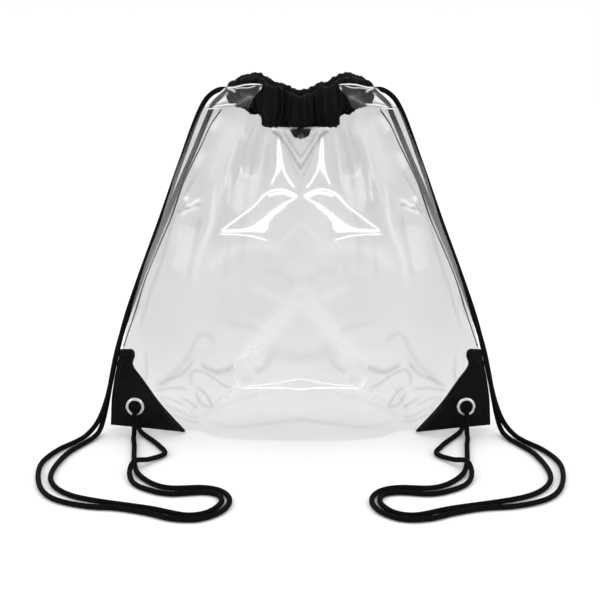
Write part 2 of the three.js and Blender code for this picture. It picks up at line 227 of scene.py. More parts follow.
# %% [markdown]
# The sack's form comes from level sections from the bottom seam to the neck, the same table as the solids
# have, but with smooth curves between them. Heights are shares of the sack's height at the middle of a
# sheet, at its shoulder and at its edge. Fin is the share of the half width that lies flat on the other
# sheet, curve how sharply the sheet swells beside it, and level the share at the middle's height.
# %% The sack's form
SACK_WIDTH, SACK_HEIGHT, SACK_DEPTH = 344.0, 300.0, 148.0
SEAM_GAP = 0.3  # between the two sheets' inner faces at the seam
SHEET = 1.0  # the solid wall that stands for the vinyl
SHOULDER_AT = 0.7  # the shoulder's share of the half width
PLEATS, PLEAT_DEPTH, PLEAT_FADE = 5, 4.0, 0.67
CASING_REACH = 20 / 28  # the share of the neck's half width that the casing covers
MIDDLE, SHOULDER, EDGE, WIDTH, DEPTH, FIN, CURVE, LEVEL, PLEAT = range(9)
SECTIONS = np.array([
    [0, 0.009, 0.03, 1, 0, 0.22, 1.3, 0.4, 0],
    [0, 0.033, 0.075, 0.996, 0.18, 0.22, 1.3, 0.4, 0],
    [0, 0.067, 0.12, 0.986, 0.36, 0.21, 1.25, 0.4, 0],
    [0.02, 0.11, 0.165, 0.973, 0.52, 0.2, 1.2, 0.38, 0],
    [0.075, 0.165, 0.22, 0.953, 0.66, 0.16, 1.1, 0.3, 0],
    [0.16, 0.245, 0.29, 0.928, 0.79, 0.1, 1, 0.25, 0],
    [0.27, 0.34, 0.38, 0.889, 0.91, 0.05, 0.95, 0.2, 0],
    [0.4, 0.44, 0.47, 0.842, 0.98, 0.02, 0.9, 0.2, 0],
    [0.53, 0.545, 0.56, 0.783, 1, 0, 0.84, 0.2, 0],
    [0.65, 0.65, 0.65, 0.722, 0.97, 0, 0.8, 0.2, 0],
    [0.75, 0.75, 0.74, 0.671, 0.88, 0, 0.78, 0.2, 0.05],
    [0.83, 0.835, 0.825, 0.624, 0.75, 0.01, 0.78, 0.15, 0.25],
    [0.885, 0.91, 0.895, 0.577, 0.6, 0.05, 0.8, 0.12, 0.6],
    [0.92, 0.965, 0.95, 0.535, 0.45, 0.1, 0.8, 0.1, 0.9],
    [0.945, 1.01, 0.99, 0.5, 0.31, 0.16, 0.8, 0.1, 1],
])
TOP = len(SECTIONS) - 1


def section_at(level):
    """The table's nine values at levels from 0 to TOP, on smooth curves, with the values last."""
    level = np.clip(np.asarray(level, float), 0, TOP)
    i = np.minimum(level.astype(int), TOP - 1)
    t = (level - i)[..., None]
    before, here, there, after = (SECTIONS[np.clip(i + k, 0, TOP)] for k in (-1, 0, 1, 2))
    slope, next_slope = (there - before) / 2, (after - here) / 2
    t2, t3 = t * t, t * t * t
    mixed = (2 * t3 - 3 * t2 + 1) * here + (t3 - 2 * t2 + t) * slope
    mixed += (3 * t2 - 2 * t3) * there + (t3 - t2) * next_slope
    mixed[..., FIN] = np.maximum(0, mixed[..., FIN])
    mixed[..., DEPTH] = np.maximum(0, mixed[..., DEPTH])
    return mixed


def ease(value, low, high):
    share = np.clip((value - low) / (high - low), 0, 1)
    return share * share * (3 - 2 * share)


def height_at(out, s):
    inner = s[..., MIDDLE] + (s[..., SHOULDER] - s[..., MIDDLE]) * ease(out, s[..., LEVEL], SHOULDER_AT)
    outer = s[..., SHOULDER] + (s[..., EDGE] - s[..., SHOULDER]) * (out - SHOULDER_AT) / (1 - SHOULDER_AT)
    return SHEET + SACK_HEIGHT * np.where(out < SHOULDER_AT, inner, outer)


def swell_at(out, s):
    return np.maximum(0, 1 - (out / (1 - s[..., FIN])) ** 2) ** s[..., CURVE]


def sack_points(side, across, level):
    """Points in mm of a sheet's inner face, without creases. Side is -1 for the front, 1 for the back."""
    s = section_at(level)
    out = np.abs(across)
    swell = swell_at(out, s)
    wave = -side * np.cos(math.pi * PLEATS * across / CASING_REACH)
    pleat = s[..., PLEAT] * PLEAT_DEPTH * wave * np.minimum(1, swell / PLEAT_FADE)
    y = side * (SEAM_GAP / 2 + swell * s[..., DEPTH] * SACK_DEPTH / 2 + pleat)
    return np.stack([across * s[..., WIDTH] * SACK_WIDTH / 2, y, height_at(out, s)], -1)


def level_at(x, z):
    """The level of the sheet's point at x and z in mm, found by halving."""
    low, high = np.zeros(np.shape(x)), np.full(np.shape(x), float(TOP))
    for _ in range(30):
        level = (low + high) / 2
        s = section_at(level)
        out = np.minimum(1, np.abs(x) / (s[..., WIDTH] * SACK_WIDTH / 2))
        under = height_at(out, s) < z
        low, high = np.where(under, level, low), np.where(under, high, level)
    return (low + high) / 2


def wall_y(side, x, z):
    """How far in Y, in mm, the sheet's inner face lies from the seam plane at x and z."""
    level = level_at(x, z)
    half = section_at(level)[..., WIDTH] * SACK_WIDTH / 2
    return side * sack_points(side, np.clip(x / half, -1, 1), level)[..., 1]


print("sack", SACK_WIDTH, "x", SACK_DEPTH, "x", SACK_HEIGHT, "mm")

# %% [markdown]
# The real sheets are 0.5 mm vinyl that was folded flat for packing. So they keep soft folds that fan out
# from the gathered neck, and sharp creases that turn white where the vinyl was stressed. A cloth simulation
# wouldn't land on the photograph's folds, so each fold is a ridge along a given line, seen from
# the front in mm, and mirrored to the other half as in the photograph. A ridge moves the sheet out by
# depth, a hollow moves it in. Its mark says how white or how dark the vinyl is painted along it, and goes
# into an attribute for the material. The white is partly that stress whitening and partly painted
# highlights of the lights mirrored in the folds; the dark is painted shade. A few slow waves keep
# the large faces from looking machined.
# %% Folds and creases
# depth and width in mm, mark from -1 for painted shade to 1 for white, which is stress whitening with a
# painted highlight, then the line's points as x, z
FRONT_FOLDS = [
    # the long arrow-shaped folds across the upper belly, painted white as highlights of the lights mirrored
    # there
    (0.5, 1.2, 1, [(-68, 198.5), (-58.5, 206), (-49, 213.5), (-39.5, 221), (-33, 228), (-27, 233),
                   (-21, 235), (-14, 235), (-8, 233), (-2, 230.5)]),
    (0.5, 2, 1, [(-27.5, 230), (-21, 232), (-14, 232.5), (-8, 230.5), (-3, 230)]),
    (0.6, 1.6, 1, [(-3, 229.5), (-8, 226.5), (-13, 224), (-17.5, 220.5), (-21.5, 217), (-27.5, 213),
                   (-33.5, 209), (-39, 204.5), (-46.5, 201.5), (-55, 200), (-67.5, 198.5)]),
    (0.3, 4.4, 1, [(-24.5, 215), (-28.5, 210), (-33, 205)]),
    (0.6, 3.2, 1, [(-12.5, 224), (-20, 218), (-26, 213.5), (-32, 208.5), (-37, 203.5)]),
    (0.4, 2.6, 1, [(-27.5, 212.5), (-28.5, 207.5), (-29.5, 203), (-36.5, 202), (-45.5, 201.5)]),
    (0.4, 1.3, 0.95, [(-67.5, 198), (-52, 199.5), (-38, 200.5), (-29.5, 200.5)]),
    (0.3, 0.9, 0.7, [(-70, 195.5), (-55, 196.5), (-41.5, 196), (-27, 193)]),
    # the forked slivers under the casing, painted highlights along the pleats' ridges
    (0.5, 1.5, 1, [(-19, 276.5), (-19.5, 267), (-19.5, 257.5), (-20.5, 249.5), (-22.5, 244.5),
                   (-25, 239)]),
    (0.5, 1.8, 1, [(-18.5, 274.5), (-17, 263), (-16, 256), (-14, 252)]),
    (0.5, 1.4, 1, [(-16.5, 255), (-13, 248), (-9.5, 242.5), (-5, 237)]),
    (0.4, 2.4, 1, [(-18.5, 261.5), (-18, 253.5), (-19.5, 248.5)]),
    # creases from the casing's hem to the middle
    (-0.4, 1.1, -0.8, [(-26.5, 284.5), (-17.5, 276.5), (-9, 266), (0, 253)]),
    (-0.4, 1.1, -0.65, [(-15, 281), (-10, 273.5), (-5, 267), (0, 261.5)]),
    (-0.2, 1.1, -0.25, [(-20.5, 275), (-11.5, 265.5), (-5, 253), (-1.5, 243.5)]),
    (0.2, 1.2, 0.15, [(-15, 279.5), (-7.5, 268.5), (0, 258.5)]),
    (0.5, 1.2, 0.7, [(-29, 285.5), (-23, 283.5), (-14.5, 282.5), (-7.5, 283), (0, 285)]),
    (0.3, 1.1, 0.4, [(-24.5, 284.5), (-16, 281), (-8.5, 281)]),
    # the shoulder and the folds beside the side seam
    (0.1, 4.5, 0.35, [(-67.5, 292.5), (-72, 286.5), (-77, 278.5)]),
    (0.1, 3.2, 0.35, [(-82.5, 262.5), (-87.5, 255), (-92, 248)]),
    (0.6, 1.5, 0.45, [(-101, 216.5), (-95.5, 216.5), (-90, 221), (-84.5, 222.5)]),
    (0.6, 1.3, 0.4, [(-104.5, 206), (-99, 210.5), (-93.5, 213), (-88, 216)]),
    (0.6, 1.9, 0.5, [(-101, 219), (-99, 222), (-96.5, 223.5)]),
    (-0.5, 1.4, -0.5, [(-102, 212.5), (-96.5, 214), (-91, 217.5), (-85.5, 219)]),
    (-0.5, 1.4, -0.4, [(-107.5, 207), (-102, 215), (-98, 219)]),
    (0.2, 8, 0.25, [(-98, 200.5), (-100, 186.5), (-102.5, 171), (-105.5, 158)]),
    (-0.4, 2.4, -0.24, [(-86, 211.5), (-90, 192.5), (-94.5, 174.5), (-98.5, 155)]),
    # long soft streaks that fan out from the gathered neck: small folds with painted light and painted shade
    (0.1, 1.9, 0.3, [(-70.5, 243), (-73.5, 230.5), (-75, 215), (-76.5, 203.5), (-81.5, 191.5),
                     (-86.5, 178.5), (-90, 164), (-93, 147)]),
    (0.3, 7, 0.16, [(-56, 291.5), (-64.5, 269), (-71.5, 252.5), (-76.5, 235.5)]),
    (0.2, 1.6, 0.14, [(-45.5, 295.5), (-54, 274), (-60.5, 253.5), (-67.5, 232.5), (-73, 213.5)]),
    (-0.3, 9, -0.14, [(-42, 283.5), (-50.5, 258), (-57, 233.5), (-63, 209.5), (-74.5, 183)]),
    (-0.2, 1.6, -0.2, [(-38.5, 291.5), (-46, 270), (-53.5, 245.5), (-61.5, 220.5)]),
    (-0.2, 6, -0.1, [(-26.5, 274.5), (-32, 251), (-36.5, 234.5)]),
    (0.2, 1.4, 0.12, [(-29, 281.5), (-31.5, 266.5), (-34.5, 249)]),
    (0.2, 1.1, 0.25, [(-51, 254), (-49.5, 247.5), (-45, 245), (-36.5, 245.5)]),
    (-0.3, 2, -0.08, [(-58.5, 198.5), (-61.5, 188), (-64, 172), (-66, 152)]),
    # faint curls on the belly
    (0.3, 5, 0.14, [(-80, 159), (-74.5, 171), (-66, 179), (-53.5, 185), (-38, 188), (-24.5, 187.5),
                    (-12.5, 183.5)]),
    (0.3, 3.2, 0.12, [(-43.5, 152), (-33, 150), (-21, 144.5), (-8, 136.5)]),
    (0.2, 1.3, 0.2, [(0, 209), (-9, 200.5), (-17.5, 191)]),
    (0.3, 3, 0.12, [(0, 153.5), (-9, 145.5), (-16, 138.5)]),
    (0.2, 7, 0.2, [(0, 145.5), (-12.5, 131.5), (-24.5, 116.5), (-37, 101), (-47.5, 89.5)]),
    (-0.3, 3.5, -0.1, [(-66.5, 118.5), (-52.5, 117.5), (-38.5, 114), (-24.5, 103)]),
    (-0.3, 3.5, -0.1, [(-33, 169), (-14, 164.5), (-3, 156)]),
    (-0.3, 6, -0.16, [(-33.5, 85), (-21.5, 93.5), (-9, 91), (0, 89.5)]),
    (-0.3, 2.4, -0.25, [(-39.5, 74), (-31, 81), (-25, 88)]),
    # the crease round the stiff fold at the foot, and its crumples
    (0.5, 1.2, 1, [(-53, 58.5), (-39, 60), (-25, 61), (-12.5, 61), (0, 60)]),
    (0.4, 1.1, 0.62, [(-49, 61), (-33.5, 63.5), (-19.5, 66), (-9, 68.5), (0, 70)]),
    (0.3, 1.1, 0.55, [(-57.5, 69), (-56, 63.5), (-52.5, 59.5)]),
    (0.3, 1.2, 0.35, [(-65, 52), (-58.5, 55.5), (-52.5, 58.5)]),
    (0.4, 1.2, 0.52, [(-55.5, 85), (-50, 89.5), (-45, 93.5)]),
    (0.3, 3, 0.3, [(-47.5, 89.5), (-45, 85), (-41.5, 83.5)]),
    (0.3, 3, 0.28, [(-41.5, 90), (-38, 87.5), (-33.5, 90.5), (-31.5, 94)]),
    (0.3, 3.4, 0.3, [(-45.5, 94), (-37.5, 101), (-31.5, 107), (-24.5, 114)]),
    (0.3, 1.3, 0.45, [(-57.5, 81), (-57, 76.5)]),
    (0.3, 1.6, 0.28, [(-36.5, 55), (-41, 52.5), (-38.5, 50.5), (-35, 48.5)]),
    (0.3, 1.6, 0.3, [(-26, 50.5), (-23.5, 51), (-20.5, 52.5)]),
    (0.3, 1.6, 0.25, [(-77.5, 37.5), (-72.5, 43.5), (-67, 48.5), (-63.5, 47), (-61.5, 42.5)]),
    (-0.3, 3.2, -0.15, [(-53, 65.5), (-48, 67.5), (-41.5, 67)]),
    # soft wrinkles between the foot and the corner patch, with painted shade along them
    (-0.35, 1.5, -0.37, [(-95.5, 78.5), (-100.5, 69.5), (-107, 62), (-116, 56.5), (-124.5, 49.5),
                         (-132.5, 44)]),
    (-0.35, 1.3, -0.34, [(-133.5, 40), (-125, 43), (-113.5, 46.5), (-99.5, 47.5)]),
    (-0.42, 2.6, -0.43, [(-89, 77.5), (-83.5, 73.5), (-77.5, 71), (-69, 71.5), (-61, 76.5), (-55.5, 80)]),
    (-0.35, 1.5, -0.34, [(-97.5, 50), (-98, 62), (-93, 69), (-83.5, 68), (-74, 62.5), (-64, 57.5),
                         (-57, 56.5)]),
    (-0.35, 1.5, -0.4, [(-94.5, 51.5), (-87, 49), (-82, 42), (-78.5, 35.5), (-85.5, 34.5), (-92, 40.5),
                        (-94.5, 48.5)]),
    (-0.35, 1.3, -0.4, [(-108, 38), (-101.5, 35), (-96, 32.5), (-91.5, 30)]),
    (-0.28, 1.2, -0.31, [(-127, 34), (-118.5, 35), (-112, 32), (-104.5, 31.5)]),
    (-0.28, 1.2, -0.31, [(-124.5, 25.5), (-114.5, 25), (-106, 22), (-98.5, 19), (-91, 23)]),
    (-0.28, 1.2, -0.28, [(-119, 20), (-110, 17), (-98.5, 14.5), (-90, 16.5)]),
    (-0.28, 1.8, -0.16, [(-89, 17), (-76, 18), (-63, 17), (-49.5, 19), (-34.5, 22.5), (-18, 25.5),
                         (0, 29)]),
    (-0.21, 1.5, -0.25, [(-140.5, 75), (-139.5, 67.5), (-140, 56), (-141, 45.5)]),
    (-0.21, 4, -0.19, [(-129, 38.5), (-123.5, 29.5), (-114.5, 21.5)]),
    # the seam allowance outside the stitches, painted lighter, and painted shade lines along its inner edge,
    # all colour with no fold under them
    (0, 3.4, 0.1, [(-81, 294.5), (-90, 277), (-97, 260), (-103.5, 246), (-113.5, 223), (-121.5, 201.5),
                    (-129.5, 175), (-140.5, 146.5), (-151, 118), (-159.5, 91.5)]),
    (0, 1.8, -1, [(-102.5, 239.5), (-109.5, 218.5), (-119.5, 195.5), (-129.5, 171), (-141.5, 144.5),
                  (-148.5, 116), (-153, 103)]),
    (0, 1.3, -0.3, [(-84, 253.5), (-102, 222.5), (-112.5, 199.5), (-119.5, 174.5), (-132.5, 137),
                    (-146, 95.5)]),
]
BACK_FOLDS = [
    (0.4, 1.8, 0.1, [(-60, 66), (-30, 61), (0, 62)]),
    (0.5, 2.2, 0.15, [(-58, 64), (-80, 44), (-103, 12)]),
    (-0.7, 2.2, -0.2, [(-130, 44), (-108, 60), (-92, 84), (-76, 72)]),
    (0.8, 3.0, 0.12, [(-50, 288), (-66, 250), (-78, 205), (-90, 150)]),
    (-0.7, 3.4, -0.15, [(-33, 284), (-44, 245), (-52, 195), (-56, 140)]),
    (0.6, 3.4, 0.1, [(-12, 279), (-17, 245), (-20, 200), (-20, 150)]),
    (0.15, 4, 0.06, [(-72, 205), (-45, 222), (-18, 214), (0, 219)]),
    (0.7, 1.8, 0.2, [(-107, 200), (-97, 206), (-86, 212)]),
    (0.6, 4.5, 0.08, [(-85, 120), (-50, 140), (-20, 132), (0, 140)]),
    (0.6, 3.4, 0.1, [(-100, 9), (-60, 20), (-20, 27), (0, 28)]),
    (0, 3.6, 0.08, [(-82, 281), (-101, 247), (-123, 196), (-143, 142), (-158.5, 90)]),
]


def distance_to_line(x, z, line):
    """Each point's distance to a line of points, as seen from the front, and the share along the line."""
    best = np.full(x.shape, 1e9)
    share = np.zeros(x.shape)
    for k, ((ax, az), (bx, bz)) in enumerate(zip(line, line[1:])):
        dx, dz = bx - ax, bz - az
        t = np.clip(((x - ax) * dx + (z - az) * dz) / (dx * dx + dz * dz), 0, 1)
        away = np.hypot(x - ax - t * dx, z - az - t * dz)
        share = np.where(away < best, (k + t) / (len(line) - 1), share)
        best = np.minimum(best, away)
    return best, share


def rounded_line(points):
    line, _ = smooth_line([(x, 0, z) for x, z in points], 8 * (len(points) - 1))
    return [(x, z) for x, _, z in line]


# %% Fold fields
SHARP = 0.5  # a mark above this is a sharp white crease
SHARP_END = 0.35  # how much of a sharp crease is left at its very end
FADE = 8  # a fold fades over this part of its line, an eighth, at each end


def fold_field(points, folds, finest=0.8):
    """How far out each point of a sheet moves, in mm, how white its creases are, from stress whitening and
    painted highlights, and how dark their painted shade is.
    """
    out, whitening_and_highlight, painted_shade = (np.zeros(points.shape[:2]) for _ in range(3))
    x, z = -np.abs(points[..., 0]), points[..., 2]
    for depth, width, mark, line in folds:
        away, share = distance_to_line(x, z, rounded_line(line))
        tail = 1.0 if line[-1][0] > -1 else 1 - share
        ends = np.minimum(1, np.minimum(share, tail) * FADE + (SHARP_END if mark > SHARP else 0))
        out += depth * np.exp(-((away / width) ** 2)) * ends
        if mark > SHARP:
            whitening_and_highlight = np.maximum(whitening_and_highlight, mark * np.exp(-((away / max(finest, 0.6 * width)) ** 4)) * ends)
        elif mark > 0:
            whitening_and_highlight = np.maximum(whitening_and_highlight, mark * np.exp(-((away / width) ** 2)) * ends)
        else:
            painted_shade = np.maximum(painted_shade, -mark * np.exp(-((away / width) ** 2)) * ends)
    return out, whitening_and_highlight, painted_shade


def slow_waves(points, side):
    """A slight unevenness of the sheet, in mm."""
    x, z = points[..., 0], points[..., 2]
    wave = 0.5 * np.sin(x / 19 + 0.6 * side) * np.sin(z / 41 + 1.3)
    wave += 0.2 * np.sin(x / 11 - z / 60 + side) * ease(z, 20, 120)
    wave += 0.25 * np.sin(z / 17 + x / 40 + 2 * side) * (1 - ease(z, 60, 160))
    return wave


# %% [markdown]
# A sheet is a closed grid: its inner and outer faces lie half a millimetre apart in the middle of the
# solid's wall, and both follow the folds. Near the seams the folds fade, because the stitches hold the
# sheets flat on each other there. At the bottom fold each sheet thins out to an edge, so that no flat end
# face shows as a dark line.
# %% Sheet grids
SHEET_WALL = 0.5
THINNED, THINNEST = 0.25, 0.08  # the levels over which the wall thins at the bottom fold, and to what share
SHARP_BANDS = [(46, 52, 72, 78), (190, 196, 238, 246)]  # heights where the sharpest folds begin and end


def stepped(dense, weight, steps):
    """Values from dense in steps that are shorter where the weight is larger."""
    along = np.concatenate([[0], np.cumsum((weight[1:] + weight[:-1]) / 2)])
    return np.interp(np.linspace(0, along[-1], steps + 1), along, dense)


def sheet_rows(steps):
    """Levels from the seam to the neck in even steps along the sheet, closer at its sharpest folds."""
    dense = np.linspace(0, TOP, 3000)
    middle = sack_points(-1, np.zeros(len(dense)), dense)
    length = np.gradient(middle[:, 1]) ** 2 + np.gradient(middle[:, 2]) ** 2
    closer = np.zeros(len(dense))
    for rise, full, fall, end in SHARP_BANDS:
        closer += ease(middle[:, 2], rise, full) * (1 - ease(middle[:, 2], fall, end))
    return stepped(dense, np.sqrt(length + 1e-6) * (1 + closer), steps)


def sheet_columns(side, steps):
    """Shares of the half width from seam to seam, a little closer in the middle."""
    dense = np.linspace(side, -side, 3000)
    return stepped(dense, 1 + 0.5 * (1 - ease(np.abs(dense), 0.55, 0.7)), steps)


def grid_normals(points):
    right = np.gradient(points, axis=1)
    up = np.gradient(points, axis=0)
    normals = np.cross(right, up)
    return normals / np.linalg.norm(normals, axis=-1)[..., None]


def sheet_grid(side, folds, rows, columns):
    """The sheet's middle surface with its folds, its normals, its white of whitening and painted highlights,
    and its painted shade.
    """
    across, level = np.meshgrid(sheet_columns(side, columns), sheet_rows(rows))
    points = sack_points(side, across, level)
    normals = grid_normals(points)
    out, whitening_and_highlight, painted_shade = fold_field(points, folds)
    held = ease(np.abs(points[..., 1]), 1.0, 7.0) * ease(level, 0, 1.2)
    out = (out + slow_waves(points, side)) * held
    middle = points + normals * (SHEET / 2 + out)[..., None]
    return middle, grid_normals(middle), whitening_and_highlight, painted_shade


# %% Clear sheets
def mark_folds(piece, **marks):
    """Stores each point's white, from whitening and painted highlights, and its painted shade, the same on
    both faces of the sheet.
    """
    for name, values in marks.items():
        layer = piece.data.attributes.new(name, "FLOAT", "POINT")
        layer.data.foreach_set("value", np.tile(values.ravel(), 2))


def make_sheet(word, side, folds, rows, columns):
    middle, normals, whitening_and_highlight, painted_shade = sheet_grid(side, folds, rows, columns)
    thickness = SHEET_WALL * np.clip(sheet_rows(rows) / THINNED, THINNEST, 1)[:, None, None]
    faces_at = []
    for away in (0.5, -0.5):
        face = middle + normals * thickness * away
        face[..., 1] = side * np.maximum(SEAM_GAP / 2, side * face[..., 1])
        face[..., 2] = np.maximum(0.05, face[..., 2])
        faces_at.append(face * MM)
    points, faces = shell(*faces_at)
    node = f"clear_{word}_panel"
    piece = make_piece(f"clear_{word}_sheet", points, faces, [node])
    mark_folds(piece, crease=whitening_and_highlight, shade=painted_shade)
    return piece


sheets = [
    make_sheet("front", -1, FRONT_FOLDS, rows=220, columns=212),
    make_sheet("back", 1, BACK_FOLDS, rows=150, columns=140),
]
for piece in sheets:
    print(piece.name, len(piece.data.polygons), "faces")

# %% [markdown]
# Beside the casing the vinyl has more width than the casing takes in. So it stands up in a fold that leans
# over the casing's end, in front of the cords. It is a separate small sheet here, because a sheet that is
# one grid can't fold back on itself. Its rows of points, from the sheet up to the fold's edge, are listed
# and rounded, and the right fold mirrors the left one.
# %% Shoulder folds
# the fold's points as x, y, z in mm, each row from the side seam inwards
SHOULDER_FOLD = [
    [(-85.5, -3, 297), (-75.5, -10, 298), (-64.5, -17.5, 300.5), (-54, -22.5, 301), (-44.5, -26, 301)],
    [(-78, -5, 304), (-69, -14, 306.5), (-60, -21.5, 308), (-50.5, -27, 309), (-40, -31, 310)],
    [(-71, -8, 311.5), (-63, -17.5, 313), (-54, -25.5, 315), (-45, -31.5, 316.5), (-35, -34.5, 316.5)],
    [(-64, -12, 318), (-57.5, -20.5, 319.5), (-48.5, -28, 322), (-40, -32, 322.5), (-32, -34, 322)],
]
# the lines on it, as on the sheets: painted highlights and painted shade
FOLD_MARKS = [
    (0.4, 0.7, 0.95, [(-64, 317), (-57.5, 318), (-47.5, 321), (-38, 322), (-33, 321.5)]),
    (-0.4, 0.7, 0.6, [(-62, 315.5), (-52, 318), (-43.5, 319), (-37.5, 321)]),
    (0.3, 0.8, 0.9, [(-85.5, 297.5), (-75.5, 307), (-65, 316.5)]),
    (0.3, 1.1, 0.5, [(-64, 317), (-59.5, 316), (-55.5, 314)]),
    (-0.3, 1.2, -0.7, [(-81.5, 299), (-72.5, 307.5), (-64.5, 314)]),
    (0.4, 0.9, 0.7, [(-55, 304), (-66.5, 302.5), (-77, 299.5)]),
    (0.3, 0.9, 0.7, [(-84.5, 297), (-75.5, 298.5), (-68, 299.5)]),
    (0.3, 1, 0.4, [(-62, 314.5), (-68, 307), (-75.5, 300.5)]),
    (0.5, 1.3, 1, [(-37, 311.5), (-34.5, 315.5), (-33.5, 319.5)]),
    (0.2, 2.2, 0.18, [(-55, 304), (-47, 308.5), (-41, 312)]),
    (-0.3, 1.3, -0.6, [(-52, 313.5), (-45, 311), (-40, 312.5)]),
]


def make_shoulder_fold(word, rows=56, columns=76):
    across = [smooth_line(row, columns)[0] for row in SHOULDER_FOLD]
    middle = np.stack([smooth_line(line, rows)[0] for line in np.swapaxes(across, 0, 1)], 1)
    x, z = middle[..., 0], middle[..., 2]
    middle[..., 1] += 0.5 * np.sin(x / 3.7 + z / 9) * np.sin(z / 6.1) - 0.3 * np.sin(x / 2.3 - z / 4)
    out, whitening_and_highlight, painted_shade = fold_field(middle, FOLD_MARKS, finest=0.35)
    middle[..., 1] -= out
    normals = grid_normals(middle) * (SHEET_WALL / 2)
    hand = [-SIDES[word], 1, 1]
    faces_at = [(middle + normals) * hand * MM, (middle - normals) * hand * MM]
    if SIDES[word] > 0:
        faces_at = faces_at[::-1]
    points, faces = shell(*faces_at)
    piece = make_piece(f"shoulder_fold_{word}", points, faces)
    mark_folds(piece, crease=whitening_and_highlight, shade=painted_shade)
    return piece


shoulder_folds = [make_shoulder_fold(word) for word in SIDES]
print("shoulder folds:", [piece.name for piece in shoulder_folds])

# %% [markdown]
# The casing is a strip of black polyester folded over the cords and sewn along the neck, front and back.
# The cords draw it in, so it stands up in small ruffles between the five main pleats. Outside, its hem
# covers the vinyl in the middle and ends high at both sides, where the photograph shows the inner hem
# through the vinyl as a grey flap. Each half is a closed strip that goes from the outer hem up round the
# tunnel to the inner hem.
# %% Casing tables
CASING_HEIGHT = 31.0
CASING_BULGE, CASING_SINK = 5.0, 3.4
RUFFLE = 1.7
LAY_GAP, CLOTH = 0.3, 1.0
# shares of the casing's half length, with its rise as a share of its height
CASING_ALONG = [0, 0.14, 0.29, 0.4, 0.57, 0.7, 0.78, 0.87, 0.94, 1]
CASING_RISE = [0.86, 0.93, 1.05, 0.99, 1.02, 0.9, 0.8, 0.69, 0.58, 0.5]
# shares of the casing's half length, with the heights in mm of its two hems
HEM_ALONG = [0, 0.1, 0.16, 0.3, 0.45, 0.5, 0.53, 0.6, 0.67, 0.73, 0.8, 0.9, 1]
OUTER_HEM = [284.2, 284.4, 284.2, 284.6, 284.8, 286.5, 295.5, 297, 298, 300.5, 302.5, 302, 303]
INNER_HEM = [275.5, 277, 282.5, 284.5, 285.5, 288, 293, 294, 294, 297, 299.5, 300.5, 303]
# the tunnel's outline: shares of the rise, and of the bulge or, where below 0, of the sink
TUNNEL = [(0.06, 0.35), (0.16, 0.72), (0.3, 0.95), (0.5, 1.05), (0.7, 1), (0.84, 0.86), (0.94, 0.62),
          (0.99, 0.3), (1.0, 0.0), (0.98, -0.35), (0.9, -0.7), (0.74, -0.98), (0.5, -1.05), (0.3, -0.95),
          (0.16, -0.72), (0.06, -0.4)]


# %% Casing rows
def ruffle_at(side, across):
    """Two uneven waves of small ruffles along the casing."""
    ruffle = np.sin(across * 131 + 1.4 * np.sin(across * 23 + side))
    return ruffle + 0.45 * np.sin(across * 217 + 2.1 * side + 1.9 * np.sin(across * 31))


def neck_line(side, across):
    """The sheet's upper edge in mm, and the level direction that points out of the sack there."""
    top = sack_points(side, across, np.full(across.shape, float(TOP)))
    along = np.gradient(top, axis=0)
    normal = np.stack([along[:, 1], -along[:, 0], np.zeros(len(along))], 1)
    return top, normal / np.linalg.norm(normal, axis=1)[:, None]


def hem_rows(side, across, heights, away, puff):
    """Rows in mm from a hem up to the neck, at a distance from the sheet's inner face."""
    top, normal = neck_line(side, across)
    ruffle = ruffle_at(side, across)
    low = np.interp(np.abs(across) / CASING_REACH, HEM_ALONG, heights) + 0.3 * ruffle
    rows = []
    for share in np.linspace(0, 1, 9):
        z = low + (top[:, 2] - low) * share
        half = section_at(level_at(across * SACK_WIDTH / 4, z))[..., WIDTH] * SACK_WIDTH / 2
        points = sack_points(side, across, level_at(across * half, z))
        rows.append(points + normal * (away + share * (1 + ruffle) * puff)[:, None])
    return rows


def tunnel_rows(side, across, wall):
    """Rows in mm over the tunnel that the cords run in, from outside to inside."""
    top, normal = neck_line(side, across)
    ruffle = ruffle_at(side, across)
    rise = np.interp(np.abs(across) / CASING_REACH, CASING_ALONG, CASING_RISE) * CASING_HEIGHT
    rise = rise * (1 + 0.018 * np.sin(across * 41 + side) + 0.012 * ruffle) - CLOTH + wall
    rows = []
    for share, out in TUNNEL:
        reach = wall + (CASING_BULGE if out >= 0 else CASING_SINK)
        crumple = RUFFLE * ruffle * (0.3 + 0.7 * math.sin(math.pi * share)) * (1 if out >= 0 else 0.6)
        row = top + normal * (SHEET / 2 + out * reach + crumple)[:, None]
        row[:, 2] += rise * share
        rows.append(row)
    return rows


# %% Gathered casing
def casing_strip(side, wall, columns=330):
    """Rows of points in mm from the outer hem to the inner one, at a distance within the cloth."""
    across = np.linspace(side, -side, columns + 1) * CASING_REACH
    outside = hem_rows(side, across, OUTER_HEM, SHEET + LAY_GAP + wall, 0.4 * RUFFLE)
    inside = hem_rows(side, across, INNER_HEM, -LAY_GAP - wall, -0.2 * RUFFLE)
    return np.array(outside + tunnel_rows(side, across, wall) + inside[::-1])


def make_casing(word, side):
    outer, inner = casing_strip(side, CLOTH) * MM, casing_strip(side, 0.0) * MM
    points, faces = shell(outer, inner)
    rows, columns = outer.shape[:2]
    u, v = np.meshgrid(np.linspace(0, 8.2, columns), np.linspace(0, 2.6, rows))
    uvs = np.stack([np.tile(u.ravel(), 2), np.tile(v.ravel(), 2)], 1)
    piece = make_piece(f"casing_{word}_gathered", points, faces, [f"casing_{word}"], uvs)
    return piece


casings = [make_casing("front", -1), make_casing("back", 1)]
for piece in casings:
    points = np.array([v.co for v in piece.data.vertices])
    print(piece.name, "from", np.round(points.min(0), 3), "to", np.round(points.max(0), 3))

